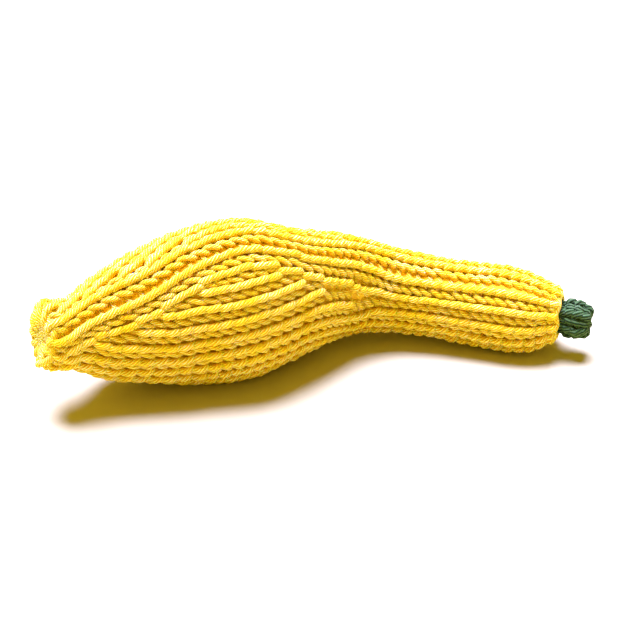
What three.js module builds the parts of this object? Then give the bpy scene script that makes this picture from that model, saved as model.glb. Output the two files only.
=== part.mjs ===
// A knitted crookneck squash: a yellow stockinette cover, its fibre filling and a green knitted stem.
// Millimetres, +Z up. It lies on its side: blossom end towards -X, stem end towards +X, and the hollow side
// of the crook to -Y.
import * as THREE from 'three';

// ---- Driving dimensions -------------------------------------------------------------------------

// Places along the body, from the blossom end to the stem end:
// centre x, y, z, half height of the section, and the section angle of the round-start line in degrees.
const STATIONS = [
  [-78.1, -22.7, 24.9, 9.9, 20],
  [-71.3, -19.4, 23.4, 10.9, 44],
  [-63.9, -14.4, 22.4, 15.7, 48],
  [-52.3, -9.7, 22.9, 20.0, 52],
  [-38.9, -3.6, 22.7, 23.6, 62],
  [-23.6, 0.4, 23.5, 24.4, 67],
  [-8.3, 8.7, 20.9, 19.7, 58],
  [7.9, 18.1, 18.1, 15.7, 53],
  [23.6, 19.7, 15.3, 13.1, 50],
  [39.2, 17.3, 13.6, 12.4, 54],
  [55.8, 14.0, 12.4, 12.9, 57],
  [65.4, 11.3, 12.0, 11.6, 58],
  [71.2, 9.9, 12.3, 8.7, 58],
];
const SECTION_RATIO = 0.85; // front-to-back size of the bulb's section against its height
const ROUND_ENDS = [38, 70]; // lengths over which the section turns round again at the tip and the stem end
const EASE_SPAN = 16; // each section faces along the chord over this length before and after it
const TIP_POWER = 3.5; // superellipse power of the blunt blossom end
const STEM_END_POWER = 2.3; // superellipse power of the rounder stem end
const TIP_CAP = 3.0; // height of the blossom end's cap
const STEM_END_CAP = 3.0; // height of the stem end's cap
const STEM_HOLE_R = 4.9; // radius left open where the last round is drawn up round the stem
const GATHER_SHIFT = [2.6, -1.4]; // how far the gather is drawn to the front and up
const GATHER_DEPTH = 1.6; // depth of the pucker in the gathered tip
const WALL = 2.6; // thickness of the knitted fabric
const FILLING_GAP = 0.7; // gap between the fabric and the body of the filling

// The hollow and its filling: how far each end stays behind the cover's own, and the height of its cap.
const HOLLOW = { tipBehind: 2.5, tipCap: 1.5, endBehind: 0.6, endCap: 1.0 };
const FILLING = { tipBehind: 3.4, tipCap: 1.4, endBehind: 3.4, endCap: 1.4 };
const FILLING_END_R = 0.5; // radius at which the filling's end closes to a point
const FILLING_POINT_BEHIND = 2.0; // how far that point stays behind the last station

// The knitting: rounds and stitches, counted for one half from the far line to the round-start line.
const FIRST_ROUND_AT = 6.5; // distance of the first full round from the middle of the tip
const TIP_ROUND = 4.45; // length of a round in the slack tip
const BODY_ROUND = 3.5; // length of a round in the rest
const TIP_ROUNDS = 12; // rounds knitted at the slack length
const ROUNDS = 47; // all full rounds
const GATHER_STITCHES = 8; // stitches of the cast-on round at the tip
const TIP_STITCHES = 6; // stitches in half a round at the tip
const NECK_STITCHES = 7; // stitches in half a round of the neck
const START_INCREASES = [2, 4, 7, 9, 12]; // rounds that gain a stitch beside the round-start line
const START_DECREASES = [18, 20, 22, 26]; // rounds that lose one there
const FAR_INCREASES = [5, 7, 10]; // rounds that gain a stitch beside the far line
const FAR_DECREASES = [24, 27, 29]; // rounds that lose one there
const EASING = [1, 2, 2, 2, 1]; // weights that ease a change of stitches over its neighbouring rounds
const LADDER = 0.16; // share of a wale's width left open behind the round-start line
const SWAY = 0.9; // sag of the front wales to the far side where the neck bends, in wale widths
const SWAY_AT = 26.4; // round of the most sag
const SWAY_ROUNDS = [4.5, 2.4]; // rounds over which it grows and fades

// Relief of a stitch: V ribs that point to the blossom end, with a furrow between wales.
const RIB = { middle: 0.45, furrow: -0.15 };
const DIP = { middle: -0.65, furrow: -0.95 };
const V_DEPTH = 0.36; // how far a V reaches along the body, in rounds
const RIDGE_RISE = 0.7; // extra height of the two wales beside the round-start line
const RIDGE_GROWS = 4; // rounds over which the ridge rises from the tip
const RIDGE_FADES = [6, 14]; // rounds before the stem end at which it is gone, and over which it fades
const LADDER_DEPTH = 0.6; // extra depth of the furrow between them
const END_MARGIN = 0.2; // distance that the last stitches keep from the stem's hole

// The stem: distance along its axis from the last body station's plane, and radius.
const STEM_PROFILE = [
  [-0.9, 4.0], [0.4, 4.4], [2.9, 4.4], [4.0, 5.2], [5.8, 5.8],
  [7.8, 5.9], [9.9, 5.5], [11.8, 4.2], [13.2, 2.2],
];
const STEM_TOP_RISE = 0.6; // height of the drawn-up middle over the last row
const STEM_SHOWN_FROM = 3.5; // distance from which the stem stands clear of the cover
const STEM_STITCHES = 7;
const STEM_RIB = 0.6; // height of the stem's stitches
const STEM_DROOP = 2; // degrees that the stem droops
const STEM_TURN = 3; // degrees that the stem turns to the front

const YELLOW = { color: 0xf2d23c, roughness: 0.9, metalness: 0 };
const WHITE = { color: 0xf4f2ec, roughness: 1, metalness: 0 };
const GREEN = { color: 0x3f6b45, roughness: 0.9, metalness: 0 };

// ---- The body's centre line ---------------------------------------------------------------------

const UP = new THREE.Vector3(0, 0, 1);
const clamp01 = (value) => Math.min(1, Math.max(0, value));
const smoothstep = (value) => clamp01(value) ** 2 * (3 - 2 * clamp01(value));
const openCurve = (points) => new THREE.CatmullRomCurve3(points, false, 'catmullrom', 0.5);

const centreLine = openCurve(STATIONS.map(([x, y, z]) => new THREE.Vector3(x, y, z)));
const sizeLine = openCurve(STATIONS.map(([, , , half, seam]) => new THREE.Vector3(half, seam, 0)));
centreLine.arcLengthDivisions = 600;
const bodyLength = centreLine.getLength();

const placeOn = (distance) => centreLine.getUtoTmapping(clamp01(distance / bodyLength));

// Frame of the section at a distance along the centre line; the line runs on straight past both ends.
function sectionAt(distance) {
  const inside = Math.min(bodyLength, Math.max(0, distance));
  const t = placeOn(inside);
  const along = centreLine.getPoint(placeOn(inside + EASE_SPAN));
  along.sub(centreLine.getPoint(placeOn(inside - EASE_SPAN))).normalize();
  const centre = centreLine.getPoint(t).addScaledVector(along, distance - inside);
  const front = new THREE.Vector3().crossVectors(along, UP).normalize();
  const top = new THREE.Vector3().crossVectors(front, along);
  const size = sizeLine.getPoint(t);
  return { centre, along, front, top, half: size.x, seam: size.y };
}

// Meridian of a skin: [distance along the centre line, share of the full radius], with superellipse ends.
function makeMeridian({ inset, tipAt, tipCap, endAt, endCap, hole }) {
  const CAP_STEPS = 24;
  const TUBE_STEPS = 160;
  const radiusAt = (distance) => sectionAt(distance).half - inset;
  const points = [];
  for (let i = 0; i <= CAP_STEPS; i += 1) {
    const angle = (i / CAP_STEPS) * (Math.PI / 2);
    points.push([tipAt - tipCap * Math.cos(angle) ** (2 / TIP_POWER), Math.sin(angle) ** (2 / TIP_POWER)]);
  }
  for (let i = 1; i < TUBE_STEPS; i += 1) {
    points.push([tipAt + ((endAt - tipAt) * i) / TUBE_STEPS, 1]);
  }
  const holeTurn = Math.acos((hole / radiusAt(endAt)) ** (STEM_END_POWER / 2));
  for (let i = 0; i <= CAP_STEPS; i += 1) {
    const share = Math.cos((i / CAP_STEPS) * holeTurn) ** (2 / STEM_END_POWER);
    points.push([endAt + endCap * (1 - share ** STEM_END_POWER) ** (1 / STEM_END_POWER), share]);
  }
  let run = 0;
  const runs = points.map((point, i) => {
    if (i > 0) {
      const [fromAt, fromShare] = points[i - 1];
      const rise = radiusAt(point[0]) * point[1] - radiusAt(fromAt) * fromShare;
      run += Math.hypot(point[0] - fromAt, rise);
    }
    return run;
  });
  return { points, runs, length: run, inset };
}

// Point of the meridian at a distance measured over the skin from the tip.
function alongMeridian(meridian, distance) {
  const { points, runs } = meridian;
  const next = Math.max(1, runs.findIndex((run) => run >= distance));
  const share = clamp01((distance - runs[next - 1]) / (runs[next] - runs[next - 1]));
  return [0, 1].map((axis) => points[next - 1][axis] + share * (points[next][axis] - points[next - 1][axis]));
}

// Point of a skin at a distance from the tip and an angle round the section, counted from the front upwards
// in even lengths of arc.
function skinPoint(meridian, distance, degrees) {
  const [at, share] = alongMeridian(meridian, distance);
  const { centre, front, top, half } = sectionAt(at);
  const towardsEnd = Math.min(distance / ROUND_ENDS[0], (meridian.length - distance) / ROUND_ENDS[1]);
  const ratio = 1 - (1 - SECTION_RATIO) * smoothstep(towardsEnd);
  const even = THREE.MathUtils.degToRad(degrees);
  const arcShift = (1 - ratio ** 2) / (4 * (1 + ratio ** 2));
  const angle = even - arcShift * Math.sin(2 * even);
  const radius = (half - meridian.inset) * share;
  const point = centre.clone();
  point.addScaledVector(top, radius * Math.sin(angle));
  point.addScaledVector(front, radius * ratio * Math.cos(angle));
  if (at < 0) {
    const gathered = (1 - share) ** 2;
    point.addScaledVector(front, GATHER_SHIFT[0] * gathered);
    point.addScaledVector(top, GATHER_SHIFT[1] * gathered);
  }
  return point;
}

function skinNormal(meridian, distance, degrees) {
  const STEP = 0.4;
  const from = Math.max(0, distance - STEP);
  const to = Math.min(meridian.length, distance + STEP);
  const onward = skinPoint(meridian, to, degrees).sub(skinPoint(meridian, from, degrees));
  const upward = skinPoint(meridian, distance, degrees + 2).sub(skinPoint(meridian, distance, degrees - 2));
  return upward.cross(onward).normalize();
}

// ---- The stitches -------------------------------------------------------------------------------

const roundAt = (round) => FIRST_ROUND_AT + TIP_ROUND * Math.min(round, TIP_ROUNDS)
  + BODY_ROUND * Math.max(0, round - TIP_ROUNDS);

const changesBy = (round, changes) => changes.filter((change) => change <= round).length;

// Stitches that the far line has not gained yet or has lost again, in half a round.
const farMissing = (round) => FAR_INCREASES.length - changesBy(round, FAR_INCREASES)
  + changesBy(round, FAR_DECREASES);

// Stitches in half a round.
const halfCount = (round) => TIP_STITCHES + FAR_INCREASES.length - farMissing(round)
  + changesBy(round, START_INCREASES) - changesBy(round, START_DECREASES);

// A count at a place between rounds, eased over the rounds about it.
function eased(countIn, place) {
  const whole = Math.floor(place);
  const total = EASING.reduce((sum, weight) => sum + weight, 0);
  const reach = (EASING.length - 1) / 2;
  const weighted = (round) => EASING.reduce((sum, weight, k) => sum + weight * countIn(round + k - reach), 0);
  return THREE.MathUtils.lerp(weighted(whole), weighted(whole + 1), place - whole) / total;
}

// Angles from the round-start line at which a stitch begins and ends, at a place given as a local round
// number. The wales keep one width and are counted from the far line, so they run on past an increase.
function waleSpan(round, stitch, place) {
  const half = halfCount(round);
  const isBehind = stitch < half;
  const step = isBehind ? half - 1 - stitch : stitch - half;
  const ladder = isBehind ? LADDER : 0;
  const width = 180 / (eased(halfCount, place) + ladder);
  const spread = place < SWAY_AT ? SWAY_ROUNDS[0] : SWAY_ROUNDS[1];
  const sway = SWAY * Math.exp(-(((place - SWAY_AT) / spread) ** 2)) * width;
  const edge = 180 - (1 + ladder) * width;
  const inner = step === 0 ? 0 : (step + farMissing(round) - eased(farMissing, place)) * width;
  const [from, to] = [inner, inner + width].map((value) => {
    const held = THREE.MathUtils.clamp(value, 0, edge);
    return isBehind ? held + sway * (1 - held / edge) : held - sway;
  });
  const span = { from, to: step >= half - 2 ? edge : to };
  if (step === half - 1) {
    span.from = edge;
    span.to = edge + width;
  }
  return isBehind ? [180 - span.to, 180 - span.from] : [180 + span.from, 180 + span.to];
}

// One ring of the cover's outside: for each wale its middle and the furrow after it.
function stitchRing(meridian, round, shift, relief) {
  const count = 2 * halfCount(round);
  const fade = smoothstep((ROUNDS - RIDGE_FADES[0] - round) / RIDGE_FADES[1]);
  const ridge = RIDGE_RISE * smoothstep(round / RIDGE_GROWS) * fade;
  const ring = [];
  for (let stitch = 0; stitch < count; stitch += 1) {
    const raise = stitch === 0 || stitch === count - 1 ? ridge : 0;
    const isLast = stitch === count - 1;
    const [begin, end] = waleSpan(round, stitch, round + shift - V_DEPTH);
    const [, furrow] = waleSpan(round, stitch, round + shift + V_DEPTH);
    ring.push([(begin + end) / 2, shift - V_DEPTH, relief.middle + raise]);
    const sunk = relief.furrow + raise / 2 - (isLast ? LADDER_DEPTH : 0);
    ring.push([isLast ? 360 : furrow, shift + V_DEPTH, sunk]);
  }
  return ring.map(([angle, rounds, height]) => {
    const distance = Math.min(meridian.length - END_MARGIN, roundAt(round + rounds));
    const seam = sectionAt(alongMeridian(meridian, distance)[0]).seam;
    const degrees = seam + angle;
    const point = skinPoint(meridian, distance, degrees);
    point.addScaledVector(skinNormal(meridian, distance, degrees), height);
    point.z = Math.max(0, point.z); // pressed flat where it rests
    return { angle, point };
  });
}

// A plain ring of a skin, with its vertices spaced evenly.
function plainRing(meridian, distance, sides) {
  return Array.from({ length: sides }, (_, i) => {
    const angle = (360 * (i + 0.5)) / sides;
    const seam = sectionAt(alongMeridian(meridian, distance)[0]).seam;
    return { angle, point: skinPoint(meridian, distance, seam + angle) };
  });
}

// ---- Closed meshes from rings -------------------------------------------------------------------

// Collects rings into a closed mesh. Two rings with different counts are joined in the order of their angles.
class RingMesh {
  constructor() {
    this.positions = [];
    this.triangles = [];
  }

  addPoint(point) {
    this.positions.push(point.x, point.y, point.z);
    return this.positions.length / 3 - 1;
  }

  addRing(ring) {
    return ring.map(({ angle, point }) => ({ angle, index: this.addPoint(point) }));
  }

  join(first, second) {
    let i = 0;
    let j = 0;
    const angleOf = (ring, step) => ring[step % ring.length].angle + 360 * Math.floor(step / ring.length);
    const indexOf = (ring, step) => ring[step % ring.length].index;
    while (i < first.length || j < second.length) {
      const nextFirst = i < first.length ? angleOf(first, i + 1) + angleOf(first, i) : Infinity;
      const nextSecond = j < second.length ? angleOf(second, j + 1) + angleOf(second, j) : Infinity;
      if (nextFirst <= nextSecond) {
        this.triangles.push(indexOf(first, i + 1), indexOf(first, i), indexOf(second, j));
        i += 1;
      } else {
        this.triangles.push(indexOf(first, i), indexOf(second, j), indexOf(second, j + 1));
        j += 1;
      }
    }
  }

  closeStart(ring, point) {
    const tip = this.addPoint(point);
    ring.forEach(({ index }, i) => this.triangles.push(index, ring[(i + 1) % ring.length].index, tip));
  }

  closeEnd(ring, point) {
    const tip = this.addPoint(point);
    ring.forEach(({ index }, i) => this.triangles.push(ring[(i + 1) % ring.length].index, index, tip));
  }

  toGeometry() {
    const geometry = new THREE.BufferGeometry();
    geometry.setAttribute('position', new THREE.Float32BufferAttribute(this.positions, 3));
    geometry.setIndex(this.triangles);
    geometry.computeVertexNormals();
    return geometry;
  }
}

function joinAll(mesh, rings) {
  rings.slice(1).forEach((ring, i) => mesh.join(rings[i], ring));
}

// ---- The pieces ---------------------------------------------------------------------------------

function buildCover() {
  const outside = makeMeridian({
    inset: 0, tipAt: 0, tipCap: TIP_CAP, endAt: bodyLength, endCap: STEM_END_CAP, hole: STEM_HOLE_R,
  });
  const inside = makeMeridian({
    inset: WALL,
    tipAt: HOLLOW.tipBehind,
    tipCap: HOLLOW.tipCap,
    endAt: bodyLength - HOLLOW.endBehind,
    endCap: HOLLOW.endCap,
    hole: STEM_HOLE_R,
  });
  const mesh = new RingMesh();

  const castOn = Array.from({ length: GATHER_STITCHES * 2 }, (_, i) => {
    const angle = (360 * (i + 0.5)) / (GATHER_STITCHES * 2);
    const point = skinPoint(outside, FIRST_ROUND_AT / 2, sectionAt(0).seam + angle);
    const strand = i % 2 === 0 ? RIB.middle : DIP.furrow;
    point.addScaledVector(sectionAt(0).along, -strand);
    return { angle, point };
  });
  const outerRings = [mesh.addRing(castOn)];
  for (let round = 0; round < ROUNDS; round += 1) {
    outerRings.push(mesh.addRing(stitchRing(outside, round, 0, RIB)));
    outerRings.push(mesh.addRing(stitchRing(outside, round, 0.5, DIP)));
  }
  const rim = plainRing(outside, outside.length, NECK_STITCHES * 4);
  outerRings.push(mesh.addRing(rim));
  const pucker = skinPoint(outside, 0, 0).addScaledVector(sectionAt(0).along, GATHER_DEPTH);
  mesh.closeStart(outerRings[0], pucker);
  joinAll(mesh, outerRings);

  const INNER_RINGS = 30;
  const INNER_SIDES = 20;
  const innerRings = [outerRings[outerRings.length - 1]];
  for (let i = INNER_RINGS; i >= 1; i -= 1) {
    innerRings.push(mesh.addRing(plainRing(inside, (inside.length * i) / INNER_RINGS, INNER_SIDES)));
  }
  joinAll(mesh, innerRings);
  mesh.closeEnd(innerRings[innerRings.length - 1], skinPoint(inside, 0, 0));
  return mesh.toGeometry();
}

function buildStuffing() {
  const filling = makeMeridian({
    inset: WALL + FILLING_GAP,
    tipAt: FILLING.tipBehind,
    tipCap: FILLING.tipCap,
    endAt: bodyLength - FILLING.endBehind,
    endCap: FILLING.endCap,
    hole: FILLING_END_R,
  });
  const RINGS = 30;
  const SIDES = 20;
  const mesh = new RingMesh();
  const rings = [];
  for (let i = 1; i <= RINGS; i += 1) {
    rings.push(mesh.addRing(plainRing(filling, (filling.length * i) / RINGS, SIDES)));
  }
  mesh.closeStart(rings[0], skinPoint(filling, 0, 0));
  joinAll(mesh, rings);
  const { centre } = sectionAt(bodyLength - FILLING_POINT_BEHIND);
  mesh.closeEnd(rings[rings.length - 1], centre);
  return mesh.toGeometry();
}

function buildStem() {
  const { centre, along, front, top } = sectionAt(bodyLength);
  const axis = along.clone();
  axis.addScaledVector(top, -Math.sin(THREE.MathUtils.degToRad(STEM_DROOP)));
  axis.addScaledVector(front, Math.sin(THREE.MathUtils.degToRad(STEM_TURN)));
  axis.normalize();
  const side = new THREE.Vector3().crossVectors(axis, UP).normalize();
  const upward = new THREE.Vector3().crossVectors(side, axis);
  const mesh = new RingMesh();
  const rings = STEM_PROFILE.map(([at, radius], row) => {
    const shown = at > STEM_SHOWN_FROM ? STEM_RIB : 0;
    return mesh.addRing(Array.from({ length: STEM_STITCHES * 2 }, (_, i) => {
      const isFurrow = i % 2 === 1;
      const angle = (360 * (i + 0.5)) / (STEM_STITCHES * 2);
      const turnBy = THREE.MathUtils.degToRad(angle);
      const rib = (row % 2 === 0 ? shown : -shown) / 2 - (isFurrow ? shown : 0);
      const forward = isFurrow ? shown : -shown;
      const point = centre.clone().addScaledVector(axis, at + forward);
      point.addScaledVector(side, (radius + rib) * Math.cos(turnBy));
      point.addScaledVector(upward, (radius + rib) * Math.sin(turnBy));
      return { angle, point };
    }));
  });
  const [rootAt] = STEM_PROFILE[0];
  const [lastAt] = STEM_PROFILE[STEM_PROFILE.length - 1];
  mesh.closeStart(rings[0], centre.clone().addScaledVector(axis, rootAt));
  joinAll(mesh, rings);
  mesh.closeEnd(rings[rings.length - 1], centre.clone().addScaledVector(axis, lastAt + STEM_TOP_RISE));
  return mesh.toGeometry();
}

function addPiece(group, name, geometry, finish) {
  const piece = new THREE.Mesh(geometry, new THREE.MeshStandardMaterial(finish));
  piece.name = name;
  group.add(piece);
}

const squash = new THREE.Group();
addPiece(squash, 'knitted_cover', buildCover(), YELLOW);
addPiece(squash, 'fibrefill_stuffing', buildStuffing(), WHITE);
addPiece(squash, 'knitted_stem', buildStem(), GREEN);

export default squash;
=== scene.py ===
# %% [markdown]
# # A knitted crookneck squash
#
# The squash is hand-knitted: one tube of yellow stockinette worked in the round from the blossom
# end to the stem end, stuffed with fibrefill, with a short green knitted cord for its stem. Almost
# everything that the eye reads on it is yarn, so this lesson builds the yarn itself. Every stitch
# is a real loop of a strand, laid on a smooth body that has the shape of the frame's own cover.
#
# All places are worked out in millimetres, as a knitter would measure them, and turned into metres
# only when a mesh is made.

# %% Load the fixed frame
import math

import bpy
import numpy as np
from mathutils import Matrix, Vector


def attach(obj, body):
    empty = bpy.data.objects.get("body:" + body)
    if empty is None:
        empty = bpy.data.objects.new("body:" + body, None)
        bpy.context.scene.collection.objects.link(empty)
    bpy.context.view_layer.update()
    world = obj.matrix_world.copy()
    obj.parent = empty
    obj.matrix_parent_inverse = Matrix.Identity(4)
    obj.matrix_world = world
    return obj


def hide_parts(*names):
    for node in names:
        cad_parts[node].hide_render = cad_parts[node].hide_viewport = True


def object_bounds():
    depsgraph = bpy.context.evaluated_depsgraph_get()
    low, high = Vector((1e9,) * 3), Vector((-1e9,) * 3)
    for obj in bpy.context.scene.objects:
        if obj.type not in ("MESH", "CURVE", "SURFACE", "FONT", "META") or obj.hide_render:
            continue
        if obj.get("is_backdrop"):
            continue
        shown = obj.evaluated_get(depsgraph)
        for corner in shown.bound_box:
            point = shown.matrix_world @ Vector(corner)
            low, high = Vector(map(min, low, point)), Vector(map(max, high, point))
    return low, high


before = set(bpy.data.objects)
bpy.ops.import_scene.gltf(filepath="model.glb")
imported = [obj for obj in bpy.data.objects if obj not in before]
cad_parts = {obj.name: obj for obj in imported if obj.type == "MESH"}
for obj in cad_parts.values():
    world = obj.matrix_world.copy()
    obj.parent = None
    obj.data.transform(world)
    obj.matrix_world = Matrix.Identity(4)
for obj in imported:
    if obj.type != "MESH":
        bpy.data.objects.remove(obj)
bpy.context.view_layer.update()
MM = 0.001
print("solids in the frame:", sorted(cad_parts))

# %% [markdown]
# ## The body under the knitting
#
# A squash of this kind is a bent, swelling tube. It could be sculpted, but a few stations along its
# middle say it better: where the centre of each section lies, how tall the section is, and where
# round the section the knitter's rounds begin. A Catmull-Rom curve runs through all five numbers at
# once.

# %% Stations along the squash
# Centre x, y, z and half height in mm, then the angle of the round-start line in degrees.
STATIONS = np.array([
    [-78.1, -22.7, 24.9, 9.9, 20],
    [-71.3, -19.4, 23.4, 10.9, 44],
    [-63.9, -14.4, 22.4, 15.7, 48],
    [-52.3, -9.7, 22.9, 20.0, 52],
    [-38.9, -3.6, 22.7, 23.6, 62],
    [-23.6, 0.4, 23.5, 24.4, 67],
    [-8.3, 8.7, 20.9, 19.7, 58],
    [7.9, 18.1, 18.1, 15.7, 53],
    [23.6, 19.7, 15.3, 13.1, 50],
    [39.2, 17.3, 13.6, 12.4, 54],
    [55.8, 14.0, 12.4, 12.9, 57],
    [65.4, 11.3, 12.0, 11.6, 58],
    [71.2, 9.9, 12.3, 8.7, 58],
])
SECTION_RATIO = 0.85      # front-to-back size of the bulb's section against its height
ROUND_ENDS = (38, 70)     # lengths over which the section turns round again at both ends
TIP_POWER, CAP_POWER = 3.5, 2.3   # superellipse powers of the blunt ends
TIP_CAP = 3.0             # height of the blossom end's cap
STEM_END_CAP = 3.0        # height of the stem end's cap
STEM_HOLE_R = 4.9         # radius left open where the last round is drawn up round the stem
GATHER_SHIFT = (2.6, -1.4)  # how far the gather is drawn to the front, and up if positive
EASE_SPAN = 16            # sections face along the chord over this length before and after them
CURVE_STEPS = 1200        # places at which the centre line is measured
UP = np.array([0.0, 0.0, 1.0])


def catmull_rom(points, share):
    """Value of a uniform Catmull-Rom curve at a share of its points."""
    steps = len(points) - 1
    place = np.clip(share, 0, 1) * steps
    before = np.minimum(place.astype(int), steps - 1)
    w = (place - before)[:, None]
    padded = np.vstack([2 * points[0] - points[1], points, 2 * points[-1] - points[-2]])
    p0, p1, p2, p3 = (padded[before + i] for i in range(4))
    m1, m2 = (p2 - p0) / 2, (p3 - p1) / 2
    value = ((2 * w - 3) * w * w + 1) * p1 + ((w - 2) * w + 1) * w * m1
    value += (3 - 2 * w) * w * w * p2 + (w - 1) * w * w * m2
    return value


def unit(vectors):
    """Vectors of length one."""
    return vectors / np.linalg.norm(vectors, axis=-1, keepdims=True)


def smoothstep(value):
    """Eases from 0 to 1."""
    value = np.clip(value, 0, 1)
    return value * value * (3 - 2 * value)


curve_shares = np.linspace(0, 1, CURVE_STEPS)
curve_points = catmull_rom(STATIONS, curve_shares)[:, :3]
curve_runs = np.concatenate([[0], np.cumsum(np.linalg.norm(np.diff(curve_points, axis=0), axis=1))])
body_length = curve_runs[-1]
print(f"centre line {body_length:.1f} mm long")


# %% [markdown]
# ## A skin to knit on
#
# A knitter counts rounds along the fabric and stitches round it. So a point of the skin is named in
# the same way: the distance run over the fabric from the middle of the blossom end, and the angle
# round the section, counted in even lengths of yarn from the front upwards. The blunt ends are
# superellipses, so one rule covers the whole tube from the gathered tip to the stem's hole. The
# same class serves the stem later.

# %% Skins: distance along and angle round
CAP_STEPS = 40            # places along the meridian of each blunt end
SIDE_STEPS = 300          # places along the meridian between them


class Skin:
    """A tube-like surface: its axis gives the section frame, its meridian the radius along it."""

    def __init__(self, axis, ats, shares, ratio=1.0, shift=(0.0, 0.0)):
        self.axis, self.ats, self.shares = axis, ats, shares
        self.ratio, self.shift = ratio, shift
        half = axis(ats)[4] * shares
        self.runs = np.concatenate([[0], np.cumsum(np.hypot(np.diff(ats), np.diff(half)))])
        self.length = self.runs[-1]

    def point(self, run, degrees):
        """Points of the skin."""
        run = np.asarray(run, float)
        at = np.interp(run, self.runs, self.ats)
        share = np.interp(run, self.runs, self.shares)
        centre, along, front, top, half, _ = self.axis(at)
        ratio = 1 - (1 - self.ratio) * smoothstep(
            np.minimum(run / ROUND_ENDS[0], (self.length - run) / ROUND_ENDS[1]))
        even = np.radians(degrees)
        angle = even - (1 - ratio ** 2) / (4 * (1 + ratio ** 2)) * np.sin(2 * even)
        radius = half * share
        gathered = np.where(at < 0, (1 - share) ** 2, 0)
        out_front = radius * ratio * np.cos(angle) + self.shift[0] * gathered
        out_top = radius * np.sin(angle) + self.shift[1] * gathered
        return centre + front * out_front[:, None] + top * out_top[:, None]

    def normal(self, run, degrees, step=0.4, turn=2.0):
        """Outward directions, from points a step before and after and a turn to each side."""
        low, high = np.maximum(run - step, 0), np.minimum(run + step, self.length)
        onward = self.point(high, degrees) - self.point(low, degrees)
        upward = self.point(run, degrees + turn) - self.point(run, degrees - turn)
        return unit(np.cross(onward, upward))

    def start_line(self, run):
        """Angle of the round-start line."""
        return self.axis(np.interp(run, self.runs, self.ats))[5]


def centre_line(at):
    """Station values at a distance along the centre line."""
    return catmull_rom(STATIONS, np.interp(at, curve_runs, curve_shares))


def body_axis(at):
    """Section frame at a distance along the centre line, straight on past both ends."""
    at = np.atleast_1d(np.asarray(at, float))
    inside = np.clip(at, 0, body_length)
    value = centre_line(inside)
    ahead = centre_line(np.minimum(inside + EASE_SPAN, body_length))
    behind = centre_line(np.maximum(inside - EASE_SPAN, 0))
    along = unit((ahead - behind)[:, :3])
    centre = value[:, :3] + along * (at - inside)[:, None]
    front = unit(np.cross(along, UP))
    return centre, along, front, np.cross(front, along), value[:, 3], value[:, 4]


quarter = np.linspace(0, math.pi / 2, CAP_STEPS)
hole_turn = math.acos((STEM_HOLE_R / STATIONS[-1, 3]) ** (CAP_POWER / 2))
end_shares = np.cos(np.linspace(0, hole_turn, CAP_STEPS)) ** (2 / CAP_POWER)
side_ats = np.linspace(0, body_length, SIDE_STEPS)[1:-1]
body_ats = np.concatenate([
    -TIP_CAP * np.cos(quarter) ** (2 / TIP_POWER),
    side_ats,
    body_length + STEM_END_CAP * (1 - end_shares ** CAP_POWER) ** (1 / CAP_POWER),
])
tip_shares = np.sin(quarter) ** (2 / TIP_POWER)
body_shares = np.concatenate([tip_shares, np.ones(len(side_ats)), end_shares])
body = Skin(body_axis, body_ats, body_shares, SECTION_RATIO, GATHER_SHIFT)
print(f"fabric {body.length:.1f} mm long from the gather to the stem")

# %% [markdown]
# ## Rounds and stitches
#
# The squash is the same on both sides of a line along its top and a line along its underside. So
# the pattern is told for one half: six stitches at the tip, five increases beside the top line and
# three beside the bottom line to swell the bulb, and seven decreases that take them away again for
# the neck. All wales keep the width that the yarn gives them; what the shape asks for is where they
# begin and end. An increase or a decrease is eased over its neighbouring rounds, since knitted
# stitches lean towards one another there.

# %% The knitting pattern
FIRST_ROUND_AT = 6.5      # distance of the first full round from the middle of the tip
TIP_ROUND = 4.45          # length of a round in the slack tip
BODY_ROUND = 3.5          # length of a round in the rest
TIP_ROUNDS = 12           # rounds at the slack length
ROUNDS = 47               # all full rounds
TIP_STITCHES = 6          # stitches in half a round at the tip
TOP_INCREASES, TOP_DECREASES = (2, 4, 7, 9, 12), (18, 20, 22, 26)
FAR_INCREASES, FAR_DECREASES = (5, 7, 10), (24, 27, 29)
LADDER = 0.36             # share of a wale's width left open behind the top line
SWAY, SWAY_AT = 0.9, 26.4   # sag of the wales where the neck bends, in wales, and its round
SWAY_ROUNDS = (4.5, 2.4)  # rounds over which the sag comes and goes
EASING = np.array([1, 2, 3, 4, 3, 2, 1]) / 16   # weights that ease a change over nearby rounds
MARGIN = 2                # rounds counted before the first and after the last


def round_at(number):
    """Distance of a round from the middle of the tip; the number may have a fraction."""
    number = np.asarray(number, float)
    slack = np.minimum(number, TIP_ROUNDS)
    firm = np.maximum(0, number - TIP_ROUNDS)
    return FIRST_ROUND_AT + TIP_ROUND * slack + BODY_ROUND * firm


def worked(numbers, increases, decreases):
    """Stitches gained by each of the rounds."""
    gained = sum((numbers >= n).astype(int) for n in increases)
    return gained - sum((numbers >= n).astype(int) for n in decreases)


def eased(counts):
    """Counts eased over the rounds before and after."""
    return np.convolve(np.pad(counts, len(EASING) // 2, mode="edge"), EASING, mode="valid")


numbers = np.arange(-MARGIN, ROUNDS + MARGIN + 1)
far_missing = len(FAR_INCREASES) - worked(numbers, FAR_INCREASES, FAR_DECREASES)
half_counts = TIP_STITCHES + len(FAR_INCREASES) - far_missing
half_counts = half_counts + worked(numbers, TOP_INCREASES, TOP_DECREASES)
print("stitches in all:", 2 * int(half_counts[MARGIN:MARGIN + ROUNDS].sum()))


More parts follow.
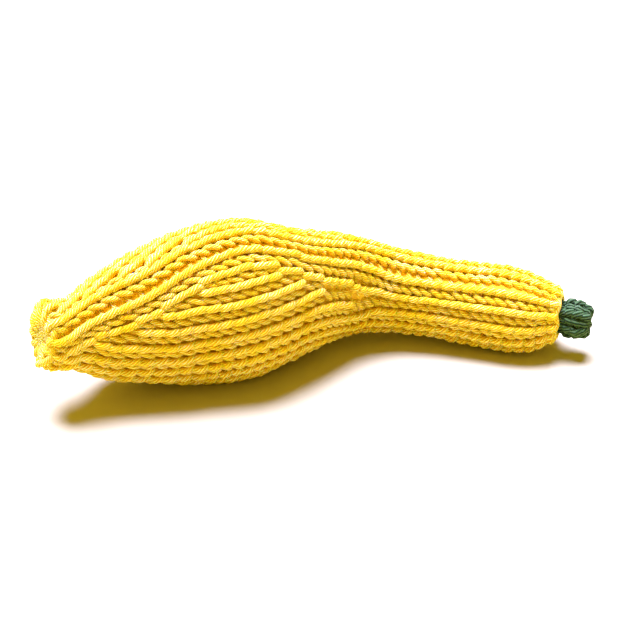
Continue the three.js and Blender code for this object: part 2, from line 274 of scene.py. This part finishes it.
def wale_span(number, stitch, local):
    """Degrees at which a stitch begins and ends, at places given as local round numbers."""
    half, missing = (int(values[number + MARGIN]) for values in (half_counts, far_missing))
    behind = stitch < half
    step = half - 1 - stitch if behind else stitch - half
    ladder = LADDER if behind else 0.0
    width = 180 / (np.interp(local, numbers, eased(half_counts)) + ladder)
    spread = np.where(local < SWAY_AT, *SWAY_ROUNDS)
    sway = SWAY * np.exp(-((local - SWAY_AT) / spread) ** 2) * width
    edge = 180 - (1 + ladder) * width
    inner = (step + missing - np.interp(local, numbers, eased(far_missing))) * width
    inner, outer = (inner if step else 0 * width), inner + width
    inner, outer = (np.clip(value, 0, edge) for value in (inner, outer))
    if behind:
        inner, outer = (value + sway * (1 - value / edge) for value in (inner, outer))
    else:
        inner, outer = inner - sway, outer - sway
    if step >= half - 2:
        outer = edge
    if step == half - 1:
        inner, outer = edge, edge + width
    return (180 - outer, 180 - inner) if behind else (180 + inner, 180 + outer)


# %% [markdown]
# ## One stitch of stockinette
#
# A loop of stockinette leaves its neighbour behind the fabric, comes up to the front as one leg,
# passes behind as the head that the next loop is drawn through, and comes down as the other leg.
# Three sines say all of it: across the wale it goes forward and swings by `SWING`, along the wale
# it rises and falls by `REACH`, and through the fabric it comes forward twice. The legs lean apart,
# which makes the V, and the V points back to the blossom end because the squash is knitted from
# there.

# %% Yarn and stitch sizes
YARN_R = 0.92             # mean radius of the yellow yarn
BEAD = 0.09               # how much plumper a leg is than the yarn behind the fabric
PLUMP = 0.15              # how much plumper the upper leg looks than the lower one
SWING = 0.18              # sideways swing of a loop, in wale widths
SKEW = 0.11               # how far the yarn's own twist skews a loop, in wale widths
UPPER_RISE = 0.35         # how much higher the upper leg lies than the lower one
REACH = 0.84              # half length of a loop, in rounds
DEPTH = 1.0               # how far a loop comes to the front and goes to the back
PROUD = 0.4               # how far the legs stand out over the skin
STITCH_STEPS = 17         # points along one stitch
RIDGE_RISE = 0.7          # extra height of the two wales beside the round-start line
RIDGE_STARTS, RIDGE_ENDS, RIDGE_FADES = 4, 4, 12   # rounds of its rise, after it, of its fall
UNEVEN_ALONG, UNEVEN_ROUND, UNEVEN_OUT = 0.04, 0.02, 0.1   # a hand's unevenness in each direction
FIRST_RUN, LAST_GAP = 0.5, 0.3   # distances kept from the tip's middle and the stem's hole
SEED = 7
dice = np.random.default_rng(SEED)


def loop_course(steps):
    """Places along one loop: across the wale, along it and towards the front."""
    t = np.arange(steps) / steps * 2 * math.pi
    across = t / (2 * math.pi) + SWING * np.sin(2 * t) + SKEW * np.cos(t)
    return across, -REACH * np.cos(t), -np.cos(2 * t) - UPPER_RISE * np.sin(t)


def round_path(number):
    """The yarn's path through one round of the cover: points, and the outward direction at each."""
    across, onward, outward = loop_course(STITCH_STEPS)
    count = 2 * int(half_counts[number + MARGIN])
    fading = smoothstep((ROUNDS - RIDGE_ENDS - number) / RIDGE_FADES)
    ridge = float(smoothstep(number / RIDGE_STARTS) * fading) * RIDGE_RISE
    degrees, lifts, runs = [], [], []
    for stitch in range(count):
        wobble = dice.normal(0, 1, 3)
        local = number + onward + UNEVEN_ALONG * wobble[0]
        begin, end = wale_span(number, stitch, local)
        degrees.append(begin + (end - begin) * (across + UNEVEN_ROUND * wobble[1]))
        raised = ridge * (stitch in (0, count - 1))
        lifts.append(DEPTH * outward + UNEVEN_OUT * wobble[2] + raised)
        runs.append(round_at(local))
    degrees, lifts, runs = map(np.concatenate, (degrees, lifts, runs))
    runs = np.clip(runs, FIRST_RUN, body.length - LAST_GAP)
    turned = degrees + body.start_line(runs)
    normal = body.normal(runs, turned)
    lifts = lifts + PROUD - DEPTH - YARN_R
    return body.point(runs, turned) + normal * lifts[:, None], normal


print("one loop of yarn:", [np.round(c[:5], 2).tolist() for c in loop_course(STITCH_STEPS)])

# %% [markdown]
# ## Twisted yarn
#
# Yarn is plies laid round one another, and the slant of those plies is what tells the two legs of a
# V apart: on one leg they cross the strand steeply like a rope, and on the other they lie along it
# and look flat. The strand itself can stay a plain tube. Each corner of it is told how far along
# the yarn it lies and where round the strand, and from those two numbers the material lays the
# plies on at their slant.

# %% Sweeping a strand along a path
YARN_SIDES = 14           # sides of the tube that stands for a strand
FLOOR_EASE = 0.5          # height under which yarn is pressed against the floor
STRAND_MAP = "strand"     # name of the map that tells the material the places on a strand


def press_on_floor(points):
    """What would lie lower than the floor is squeezed to just above it, without a crease."""
    z = points[..., 2]
    pressed = FLOOR_EASE * np.exp(np.minimum(z, FLOOR_EASE) / FLOOR_EASE - 1)
    points[..., 2] = np.where(z < FLOOR_EASE, pressed, z)
    return points


def sweep(points, outward, radius, start=0.0):
    """A closed strand along a path: vertices in mm, quads, and the places of each corner.

    A place is the length along the strand and the share of the way round it. The fourth result is
    the length at the strand's end, where the next one may start.
    """
    rows, sides = len(points), YARN_SIDES
    radius = np.broadcast_to(np.asarray(radius, float), (rows,))
    tangent = unit(np.roll(points, -1, axis=0) - np.roll(points, 1, axis=0))
    side = unit(np.cross(tangent, outward))
    front = np.cross(side, tangent)
    column = np.arange(sides)
    turn = (column * (2 * math.pi / sides))[None, :, None]
    ring = np.cos(turn) * side[:, None] + np.sin(turn) * front[:, None]
    vertices = points[:, None] + radius[:, None, None] * ring
    row = np.arange(rows)[:, None]
    next_row = (row + 1) % rows
    beside = (column + 1) % sides
    first, second = row * sides + column, row * sides + beside
    third, fourth = next_row * sides + beside, next_row * sides + column
    quads = np.stack([first, second, third, fourth], -1).reshape(-1, 4)
    gaps = np.linalg.norm(np.roll(points, -1, axis=0) - points, axis=1)
    run = start + np.concatenate([[0], np.cumsum(gaps)])
    along = np.stack([run[:-1], run[:-1], run[1:], run[1:]], -1)
    along = np.repeat(along[:, None], sides, axis=1).reshape(-1, 4)
    around = np.stack([column, column + 1, column + 1, column], -1) / sides
    around = np.repeat(around[None], rows, axis=0).reshape(-1, 4)
    places = np.stack([along, around], -1)
    return press_on_floor(vertices.reshape(-1, 3)), quads, places, run[-1]


def mesh_piece(name, parts):
    """One mesh object in metres from parts that begin with vertices, quads and corner places."""
    offsets = np.cumsum([0] + [len(part[0]) for part in parts[:-1]])
    vertices = np.concatenate([part[0] for part in parts])
    quads = np.concatenate([part[1] + offset for part, offset in zip(parts, offsets)])
    places = np.concatenate([part[2] for part in parts])
    mesh = bpy.data.meshes.new(name)
    mesh.vertices.add(len(vertices))
    mesh.vertices.foreach_set("co", (vertices * MM).astype(np.float32).ravel())
    mesh.loops.add(quads.size)
    mesh.loops.foreach_set("vertex_index", quads.astype(np.int32).ravel())
    mesh.polygons.add(len(quads))
    mesh.polygons.foreach_set("loop_start", np.arange(len(quads), dtype=np.int32) * 4)
    mesh.polygons.foreach_set("loop_total", np.full(len(quads), 4, np.int32))
    mesh.polygons.foreach_set("use_smooth", np.ones(len(quads), bool))
    strand_map = mesh.uv_layers.new(name=STRAND_MAP)
    strand_map.data.foreach_set("uv", places.astype(np.float32).ravel())
    mesh.update(calc_edges=True)
    mesh.validate()
    piece = bpy.data.objects.new(name, mesh)
    bpy.context.scene.collection.objects.link(piece)
    print(f"{name}: {len(quads) * 2} triangles")
    return piece


# %% [markdown]
# ## Knitting the cover
#
# The cover is one strand, but a single mesh of it would be heavy to handle, so it is kept as four:
# the tip, the bulb, the shoulder where most decreases fall, and the neck. A leg of a stitch is
# plumper than the yarn behind the fabric, where it is squeezed, and the upper leg of each V looks
# plumper than the lower one, which is drawn tight. So the strand's radius changes along each loop
# in the same sines as its path.

# %% Knitting the cover
SECTIONS = {"tip": (0, 9), "bulb": (9, 18), "shoulder": (18, 30), "neck": (30, ROUNDS)}
loop_turn = np.arange(STITCH_STEPS) / STITCH_STEPS * 2 * math.pi
loop_radius = YARN_R * (1 - PLUMP * np.sin(loop_turn) - BEAD * np.cos(2 * loop_turn))
yellow_pieces = []
yarn_run = 0.0
for section, (from_round, to_round) in SECTIONS.items():
    parts = []
    for number in range(from_round, to_round):
        points, outward = round_path(number)
        radius = np.tile(loop_radius, len(points) // STITCH_STEPS)
        part = sweep(points, outward, radius, start=yarn_run)
        yarn_run = part[3]
        parts.append(part)
    yellow_pieces.append(mesh_piece(f"knitted_{section}", parts))
print(f"{yarn_run / 1000:.1f} m of yellow yarn")

# %% [markdown]
# ## The gathered tip and the rim at the stem
#
# At the blossom end the yarn's tail is run through the first stitches and pulled tight, which folds
# the fabric's edge to and fro round a small pucker and pushes its lower corner out. At the other
# end the last round is drawn up round the stem and shows as one thick, smooth ring. Both are closed
# strands laid on the body at chosen distances, so the helper for them is the same. Small waves keep
# them from looking drawn with a compass.

# %% Strands that draw the ends together
STRAND_STEPS = 240        # points along such a strand
GATHER_FOLDS = 8          # folds of the edge where it is drawn up
GATHER_AT, GATHER_SWING = 3.6, 2.2   # where the folds lie from the tip's middle, and their reach
FOLD_NEAREST = 0.3        # how near to the tip's middle a fold may come
FOLD_LIFT, FOLD_DEPTH = 0.35, 1.25   # how much the folds rise and fall, and how deep they lie
FOLD_YARN_R = 1.05        # radius of the folded strands
EDGE_AT, EDGE_SWING = 7.6, 0.5       # where the first round's edge lies, and how much it wanders
CORNER_LIFT = 3.0         # how far the lower corner of the tip is pushed out
CORNER_AT, CORNER_SPREAD = 285, 36   # its angle and its width in degrees
RIM_INSET, RIM_DEPTH = 1.8, 0.7      # how far from the hole's edge the rim lies, and how deep
RIM_YARN_R = 1.3          # radius of the last strand


def skin_strand(runs, degrees, lifts, radius):
    """A closed strand laid on the body at these distances and angles."""
    turned = degrees + body.start_line(runs)
    normal = body.normal(runs, turned)
    return sweep(body.point(runs, turned) + normal * lifts[:, None], normal, radius)


around = np.linspace(0, 2 * math.pi, STRAND_STEPS, endpoint=False)
degrees_round = np.degrees(around)
folds = np.cos(around * GATHER_FOLDS) + 0.25 * np.sin(around * 3 + 1)
corner = CORNER_LIFT * np.exp(-((degrees_round - CORNER_AT) / CORNER_SPREAD) ** 2)
gather = [
    skin_strand(
        np.maximum(GATHER_AT + sign * GATHER_SWING * folds, FOLD_NEAREST), degrees_round,
        sign * FOLD_LIFT * folds - FOLD_DEPTH + corner / 2, FOLD_YARN_R)
    for sign in (1, -1)
]
edge_lifts = 0.25 * np.sin(around * 12) - FOLD_DEPTH + corner
edge_runs = EDGE_AT + EDGE_SWING * np.sin(around * 6)
edge = skin_strand(edge_runs, degrees_round, edge_lifts, FOLD_YARN_R)
rim_runs = body.length - RIM_INSET + 0.3 * np.sin(around * 5)
rim_lifts = 0.2 * np.sin(around * 7 + 2) - RIM_DEPTH
rim = skin_strand(rim_runs, degrees_round, rim_lifts, RIM_YARN_R)
yellow_pieces.append(mesh_piece("gathered_tip", [*gather, edge]))
yellow_pieces.append(mesh_piece("stem_rim", [rim]))

# %% [markdown]
# ## Fuzz
#
# Wool-like yarn has a halo of fine fibre ends. They soften the outline and catch the light on top.
# Hair would be the usual tool, but loose strips of four short straights each need no hair system
# and stay in the exported model. They start a little inside the yarn, lean every way and curl as
# they go.

# %% Fuzz
FIBRES = 14000            # fine fibres that stand out of the yarn
FIBRE_LENGTH, FIBRE_WIDTH = 1.8, 0.07   # mean length and width of a fibre
FIBRE_STEPS = 4           # short straights in a fibre's curl
FIBRE_PLACE = 0.25        # place on the strand whose colour the fibres have: its open side
FUZZ_FROM = 8             # distance from the tip's middle where the fuzz begins
FIBRE_CURL, FIBRE_TAPER = 0.35, 0.7     # how much each straight turns, and a fibre narrows


def fuzz(count):
    """Thin curled strips rooted in the fabric, as one part with its corner places."""
    runs = dice.uniform(FUZZ_FROM, body.length - 1, count)
    degrees = dice.uniform(0, 360, count)
    normal = body.normal(runs, degrees)
    point = body.point(runs, degrees) - normal * dice.uniform(0.1, 1.2, (count, 1))
    heading = unit(normal * dice.uniform(0.2, 1.0, (count, 1)) + dice.normal(0, 0.7, (count, 3)))
    side = unit(np.cross(heading, dice.normal(0, 1, (count, 3)))) * FIBRE_WIDTH / 2
    length = FIBRE_LENGTH * dice.uniform(0.4, 1.5, (count, 1)) / FIBRE_STEPS
    bend = dice.normal(0, FIBRE_CURL, (count, 3))
    rows = []
    for step in range(FIBRE_STEPS + 1):
        taper = 1 - FIBRE_TAPER * step / FIBRE_STEPS
        rows.append(np.stack([point - side * taper, point + side * taper], 1))
        point = point + heading * length
        heading = unit(heading + bend)
    vertices = np.stack(rows, 1).reshape(-1, 3)
    first = np.arange(count)[:, None] * (FIBRE_STEPS + 1) * 2 + np.arange(FIBRE_STEPS) * 2
    quads = np.stack([first, first + 1, first + 3, first + 2], -1).reshape(-1, 4)
    return press_on_floor(vertices), quads, np.full((len(quads), 4, 2), FIBRE_PLACE)


yellow_pieces.append(mesh_piece("yarn_fuzz", [fuzz(FIBRES)]))

# %% [markdown]
# ## The back of the fabric
#
# Between the legs the eye meets the back of the same fabric, in deep shade, where the loops pass
# behind one another. A closed skin of the body's own shape, a little under the legs, stands for it
# and hides the stuffing, as tight knitting does.

# %% The back of the fabric
BACK_INSET = YARN_R + 0.7   # depth of the fabric's back under the surface
BACK_RINGS, BACK_SIDES = 120, 60
POLE_GAP = 0.6            # distance from the tip's middle inside which the normal isn't asked for


def skin_mesh(name, skin, inset, rings, sides):
    """A closed smooth skin, a little under the surface."""
    runs = np.linspace(0, skin.length, rings + 1)
    angles = np.arange(sides) * 360 / sides
    run_grid, angle_grid = np.repeat(runs, sides), np.tile(angles, rings + 1)
    inward = skin.normal(np.clip(run_grid, POLE_GAP, None), angle_grid) * inset
    vertices = skin.point(run_grid, angle_grid) - inward
    rows, columns = np.meshgrid(np.arange(rings), np.arange(sides), indexing="ij")
    first, second = rows * sides + columns, rows * sides + (columns + 1) % sides
    quads = np.stack([first, first + sides, second + sides, second], -1).reshape(-1, 4)
    along = np.stack([rows, rows + 1, rows + 1, rows], -1) / rings
    across = np.stack([columns, columns, columns + 1, columns + 1], -1) / sides
    places = np.stack([along, across], -1).reshape(-1, 4, 2)
    return mesh_piece(name, [(press_on_floor(vertices), quads, places)])


lining = skin_mesh("fabric_back", body, BACK_INSET, BACK_RINGS, BACK_SIDES)

# %% [markdown]
# ## The stem
#
# The stem is a stub of green knitting, a few rounds of six stitches, narrow where the squash's last
# round grips it, fuller beyond and drawn shut at its end. It is the same stitch on another skin, so
# the loop and the sweep above serve again; only the axis and the profile are new. A core, painted
# dark as the shade inside the stem, fills it.

# %% The stem's skin
# Distance along the stem's axis and radius, in mm.
STEM_PROFILE = np.array([
    [-0.9, 4.0], [0.4, 4.4], [2.9, 4.4], [4.0, 5.2], [5.8, 5.8],
    [7.8, 5.9], [9.9, 5.5], [11.8, 4.2], [13.2, 2.2], [13.8, 0.2],
])
STEM_DROOP, STEM_TURN = 2, 3    # degrees that the stem droops and turns to the front
base = [value[0] for value in body_axis(body_length)]
base_centre, base_along, base_front, base_top = base[:4]
droop, aside = math.sin(math.radians(STEM_DROOP)), math.sin(math.radians(STEM_TURN))
stem_along = unit(base_along - base_top * droop + base_front * aside)
stem_front = unit(np.cross(stem_along, UP))
stem_top = np.cross(stem_front, stem_along)


def stem_axis(at):
    """Section frame of the stem, whose half height is left to its profile."""
    at = np.atleast_1d(np.asarray(at, float))
    same = np.ones(len(at))
    centre = base_centre + at[:, None] * stem_along
    along, front, top = (np.outer(same, v) for v in (stem_along, stem_front, stem_top))
    return centre, along, front, top, same, same * 0


stem = Skin(stem_axis, *STEM_PROFILE.T)
print(f"stem {stem.length:.1f} mm along its fabric")

# %% [markdown]
# ## The stem's stitches
#
# Four rounds of six loops clothe the stub. The green yarn is thick for rounds this short, so the
# stitches crowd one another and only narrow dark slots are left between them.

# %% The stem's stitches
STEM_STITCHES = 6         # stitches round the stem
STEM_YARN_R = 1.25        # radius of the green yarn
STEM_ROUNDS = (3.4, 6.6, 9.8, 12.8)   # distances of the stem's rounds, along its fabric
STEM_ROUND = 3.1          # length of a round of the stem
STEM_DEPTH, STEM_PROUD = 1.1, 0.3     # how deep its loops go, and how far they stand out
STEM_UNEVEN_ROUND, STEM_UNEVEN_ALONG, STEM_UNEVEN_OUT = 0.05, 0.06, 0.2   # its unevenness
STEM_FIRST_RUN, STEM_LAST_GAP = 0.2, 0.3   # distances kept from both ends
STEM_CORE_INSET = 2.4     # depth of the dark core under the stem's surface
CORE_RINGS, CORE_SIDES = 30, 24


def stem_round(start):
    """The yarn's path through one round of the stem."""
    across, onward, outward = loop_course(STITCH_STEPS)
    degrees, runs, lifts = [], [], []
    for stitch in range(STEM_STITCHES):
        wobble = dice.normal(0, 1, 3)
        degrees.append((stitch + across + STEM_UNEVEN_ROUND * wobble[0]) * 360 / STEM_STITCHES)
        runs.append(start + STEM_ROUND * (onward + STEM_UNEVEN_ALONG * wobble[2]))
        lifts.append(STEM_DEPTH * outward + STEM_UNEVEN_OUT * wobble[1])
    degrees, runs, lifts = map(np.concatenate, (degrees, runs, lifts))
    runs = np.clip(runs, STEM_FIRST_RUN, stem.length - STEM_LAST_GAP)
    normal = stem.normal(runs, degrees)
    depth = lifts + STEM_PROUD - STEM_DEPTH - STEM_YARN_R
    return stem.point(runs, degrees) + normal * depth[:, None], normal


stem_parts = [sweep(*stem_round(start), STEM_YARN_R) for start in STEM_ROUNDS]
stem_loops = mesh_piece("knitted_stem_rounds", stem_parts)
stem_core = skin_mesh("stem_core", stem, STEM_CORE_INSET, CORE_RINGS, CORE_SIDES)

# %% [markdown]
# ## Shader sums
#
# A yarn's finish is a sum of simple patterns. Wiring such sums by hand hides them among nodes, so a
# small class wraps a socket and lets ordinary Python sums and products make the Math nodes. A
# second class holds a material and adds every other kind of node with one method.

# %% Shader sums
class Value:
    """A shader socket that sums and products can be written with."""

    def __init__(self, tree, socket):
        self.tree, self.socket = tree, socket

    def math(self, operation, *operands, clamp=False):
        node = self.tree.nodes.new("ShaderNodeMath")
        node.operation = operation
        node.use_clamp = clamp
        for socket, operand in zip(node.inputs, operands):
            feed(self.tree, socket, operand)
        return Value(self.tree, node.outputs[0])

    def __add__(self, other):
        return self.math("ADD", self, other)

    def __sub__(self, other):
        return self.math("SUBTRACT", self, other)

    def __rsub__(self, other):
        return self.math("SUBTRACT", other, self)

    def __mul__(self, other):
        return self.math("MULTIPLY", self, other)

    __radd__, __rmul__ = __add__, __mul__

    def cosine(self):
        return self.math("COSINE", self)

    def sine(self):
        return self.math("SINE", self)

    def held(self):
        """The value held between 0 and 1."""
        return self.math("ADD", self, 0.0, clamp=True)


def feed(tree, socket, value):
    """Links a value into a socket, or sets the socket to it."""
    if isinstance(value, Value):
        tree.links.new(value.socket, socket)
    elif isinstance(value, tuple) and len(value) == 3 and socket.type == "RGBA":
        socket.default_value = (*value, 1.0)
    else:
        socket.default_value = value


# %% [markdown]
# ## Materials under construction
#
# Every finish here starts from the Principled surface. The helpers add the few kinds of node that
# the finishes need, each with its settings first and its inputs by name.

# %% Materials under construction
class Finish:
    """A material under construction."""

    def __init__(self, name):
        self.material = bpy.data.materials.new(name)
        self.material.use_nodes = True
        self.tree = self.material.node_tree
        self.surface = self.tree.nodes["Principled BSDF"]

    def node(self, kind, settings, output, **inputs):
        """A node of this kind: its settings, then its inputs by name, or by number as _0, _1."""
        made = self.tree.nodes.new("ShaderNode" + kind)
        for name, value in settings.items():
            setattr(made, name, value)
        for name, value in inputs.items():
            key = int(name[1:]) if name[0] == "_" else name.replace("_", " ")
            feed(self.tree, made.inputs[key], value)
        return Value(self.tree, made.outputs[output])

    def blend(self, share, first, second):
        """From the first colour to the second."""
        return self.node("Mix", {"data_type": "RGBA"}, 2, _0=share, _6=first, _7=second)

    def vector(self, x, y):
        """A place in a flat pattern."""
        return self.node("CombineXYZ", {}, 0, _0=x, _1=y)

    def noise(self, where, scale, detail=2.0, roughness=0.5):
        return self.node(
            "TexNoise", {}, 0, Vector=where, Scale=scale, Detail=detail, Roughness=roughness)

    def place(self):
        """The place on the piece, in metres."""
        return self.node("TexCoord", {}, 3)

    def bump(self, height, distance):
        return self.node("Bump", {}, 0, Strength=1.0, Distance=distance, Height=height)

    def apply(self, **inputs):
        """Feeds the surface's sockets and gives the material."""
        for name, value in inputs.items():
            feed(self.tree, self.surface.inputs[name.replace("_", " ")], value)
        return self.material


# %% [markdown]
# ## Plied yarn
#
# The yarn is several fine plies laid round one another. Each corner of a strand knows how far along
# the yarn it is and where round the strand; a cosine of a slanting sum of the two draws the plies,
# with painted shade in deep orange between them and a painted highlight, pale, on their crests, and
# raises them as a bump. Noise stretched along the plies makes the fibres, and a slower one mottles
# the dye towards the same pale colour. The side of the strand that faces into the fabric is painted
# in deep shade. Light goes a little way into wool, so the finish also scatters it under the
# surface, most in the red.

# %% Plied yarn
PLIES = 7                 # fine plies that show round the yarn
PLY_ANGLE = 38            # slant of the plies against the yarn, in degrees
PLY_RELIEF = 0.0005       # height of the plies' relief, in metres
WAVER = 0.05              # how much the plies waver, in turns


def yarn_finish(name, colours, contrast, glow, sheen, radius):
    """Plied yarn in a crest, a groove and a pale colour; groove is painted shade, pale is mottle
    and painted highlight; contrast says how dark the painted shade in the gaps gets.
    """
    crest, groove, pale = colours
    finish = Finish(name)
    strand = finish.node("UVMap", {"uv_map": STRAND_MAP}, 0)
    run = finish.node("SeparateXYZ", {}, 0, _0=strand)
    share = finish.node("SeparateXYZ", {}, 1, _0=strand)
    turn = share - run * (math.tan(math.radians(PLY_ANGLE)) / (2 * math.pi * radius))
    waver = finish.noise(finish.vector(run * 0.35, share * 5), 1.0, 1.0)
    ply = ((turn + waver * WAVER) * (2 * math.pi * PLIES)).cosine() * 0.5 + 0.5
    fibres = finish.noise(finish.vector(run * 0.6, turn * 60), 1.0, 3.0, 0.6)
    mottle = finish.noise(finish.place(), 170.0, 2.0)
    # The strand's open side; its other side, facing into the fabric, gets painted shade below.
    open_side = ((share * (2 * math.pi)).sine() * 1.2 + 0.1).held()
    # Painted shade: the groove colour between the plies and on the inner side; the fibres vary it
    # too.
    lit = ply * contrast + (fibres - 0.5) + (0.9 - contrast * 0.7)
    lit = lit * (open_side * 0.9 + 0.1)
    colour = finish.blend(lit.held(), groove, crest)
    # Pale colour: the dye's mottle and the fibres, plus a painted highlight on the ply crests, on
    # the open side only.
    highlight_and_mottle = (mottle - 0.45) * 1.6 + (fibres - 0.5) * 0.8 + (ply - 0.7)
    colour = finish.blend((highlight_and_mottle * open_side).held(), colour, pale)
    return finish.apply(
        Base_Color=colour, Roughness=0.9 - 0.15 * fibres,
        Normal=finish.bump(ply * 0.7 + fibres * 0.4, PLY_RELIEF),
        Specular_IOR_Level=0.05,
        Sheen_Weight=sheen, Sheen_Roughness=0.4, Sheen_Tint=(1.0, 0.8, 0.3),
        Subsurface_Weight=0.4, Subsurface_Radius=glow, Subsurface_Scale=0.0006)


# Crest, groove and pale colours: the groove colour is painted shade, the pale one mottle and
# painted highlight.
YELLOWS = ((0.93, 0.76, 0.01), (0.88, 0.50, 0.0), (0.99, 0.95, 0.36))
GREENS = ((0.06, 0.125, 0.026), (0.014, 0.036, 0.007), (0.15, 0.21, 0.075))
yellow = yarn_finish("yellow_yarn", YELLOWS, 1.7, (1.0, 0.5, 0.02), 0.3, YARN_R)
green = yarn_finish("green_yarn", GREENS, 1.3, (0.5, 1.0, 0.3), 0.05, STEM_YARN_R)

# %% [markdown]
# ## The shaded fabric and the stuffing
#
# The fabric's back is the same yellow yarn seen in deep shade, where light that has been through
# wool turns orange: a knobbly orange of two shades. The stem's core is its own green painted almost
# black, as the shade inside the stem. The stuffing never shows, but a solid without a finish would
# be unfinished, so it gets white wadding in soft clumps.

# %% The shaded fabric and the stuffing
backing = Finish("shaded_yellow")
knots = backing.noise(backing.place(), 700.0)
shades = backing.blend((knots * 2.4 - 0.7).held(), (0.78, 0.42, 0.0), (1.0, 0.72, 0.01))
backing.apply(Base_Color=shades, Roughness=0.95, Normal=backing.bump(knots, 0.0012))

# Painted shade: the stem's core is its green darkened almost to black.
core = Finish("shaded_green")
threads = core.noise(core.place(), 900.0)
dark_greens = core.blend(threads, (0.006, 0.015, 0.005), (0.025, 0.06, 0.02))
core.apply(Base_Color=dark_greens, Roughness=0.95)

wadding = Finish("white_fibrefill")
clumps = wadding.noise(wadding.place(), 90.0, 4.0, 0.7)
whites = wadding.blend(clumps, (0.70, 0.69, 0.66), (0.93, 0.93, 0.91))
wadding.apply(Base_Color=whites, Roughness=0.95, Normal=wadding.bump(clumps, 0.0015))
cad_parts["fibrefill_stuffing"].material_slots[0].material = wadding.material

# %% [markdown]
# ## Dressing the frame
#
# Each piece gets its finish, rides on the squash's one body and hides the solid it stands in for.


def dress(piece, material, solid):
    """Gives a piece its finish and its place in the frame."""
    piece.data.materials.append(material)
    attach(piece, "root")
    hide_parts(solid)


for piece in yellow_pieces:
    dress(piece, yellow, "knitted_cover")
dress(lining, backing.material, "knitted_cover")
dress(stem_loops, green, "knitted_stem")
dress(stem_core, core.material, "knitted_stem")
print("pieces dressed:", len(yellow_pieces) + 3)

# %% [markdown]
# ## Floor and light
#
# The squash lies on a plain pale floor under one broad soft light from above and a little behind,
# so the top is bright, the front is gently shaded and the shadow falls towards the viewer. The
# room's own light is dim and warm, the colour that yellow wool throws about itself, which keeps the
# shadow golden.

# %% Floor and light
FLOOR_SIZE = 6.0          # metres
FLOOR_COLOUR = (0.52, 0.49, 0.20)
ROOM_COLOUR, ROOM_STRENGTH = (1.0, 0.71, 0.09, 1.0), 0.64
KEY_COLOUR, KEY_STRENGTH = (1.0, 1.0, 2.6), 13
KEY_ANGLE = 40            # apparent width of the light in degrees: it softens the shadow
KEY_TRAVEL = (0.15, -0.28, -1.0)   # the way the light travels
FLOOR_ROUGHNESS = 0.9
bpy.ops.mesh.primitive_plane_add(size=FLOOR_SIZE)
floor = bpy.context.object
floor.name = "floor"
floor_finish = Finish("floor").apply(Base_Color=FLOOR_COLOUR, Roughness=FLOOR_ROUGHNESS)
floor.data.materials.append(floor_finish)
floor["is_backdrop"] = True
room = bpy.data.worlds.new("room")
bpy.context.scene.world = room
room.use_nodes = True
background = room.node_tree.nodes["Background"]
background.inputs["Color"].default_value = ROOM_COLOUR
background.inputs["Strength"].default_value = ROOM_STRENGTH
key = bpy.data.lights.new("key", "SUN")
key.energy = KEY_STRENGTH
key.color = KEY_COLOUR
key.angle = math.radians(KEY_ANGLE)
key_light = bpy.data.objects.new("key", key)
key_light.rotation_euler = Vector(KEY_TRAVEL).to_track_quat("-Z", "Y").to_euler()
bpy.context.scene.collection.objects.link(key_light)
bpy.context.scene.view_settings.view_transform = "Standard"
print("light from", KEY_TRAVEL)

# %% [markdown]
# ## Camera
#
# The camera looks along the frame's Y axis and 31 degrees down, from half a metre, as someone at a
# table would. The lens is told in pixels: its focal length as seen in a picture 639 pixels wide.

# %% Camera
DOWN = math.radians(31)   # how far the camera looks down
AIM = np.array([-6.25, -1.7, 18.0]) * MM
DISTANCE = 0.5            # from the camera to the aim, in metres
WIDTH, LENS = 639, 1665   # picture width and focal length in pixels
SHIFT = (19.5, -2.0)      # pixels from the picture's middle to the aim
forward = np.array([0, math.cos(DOWN), -math.sin(DOWN)])
camera = bpy.data.cameras.new("camera")
camera.lens = camera.sensor_width * LENS / WIDTH
camera.shift_x, camera.shift_y = SHIFT[0] / WIDTH, SHIFT[1] / WIDTH
viewer = bpy.data.objects.new("camera", camera)
viewer.location = AIM - forward * DISTANCE
viewer.rotation_euler = (math.pi / 2 - DOWN, 0, 0)
bpy.context.scene.collection.objects.link(viewer)
bpy.context.scene.camera = viewer
print("camera at", [round(v, 3) for v in viewer.location])

# %% [markdown]
# ## Sizes and the end
#
# The yarn may stand a little proud of the solids, so the box of the dressed squash is printed.
# The yarn may stand a little proud of the solids, but the squash has to keep the frame's size.

# %% Sizes and the end
dressed_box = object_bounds()
dressed_mm = [[round(v / MM, 1) for v in corner] for corner in dressed_box]
print("box of the dressed squash in mm:", dressed_mm)
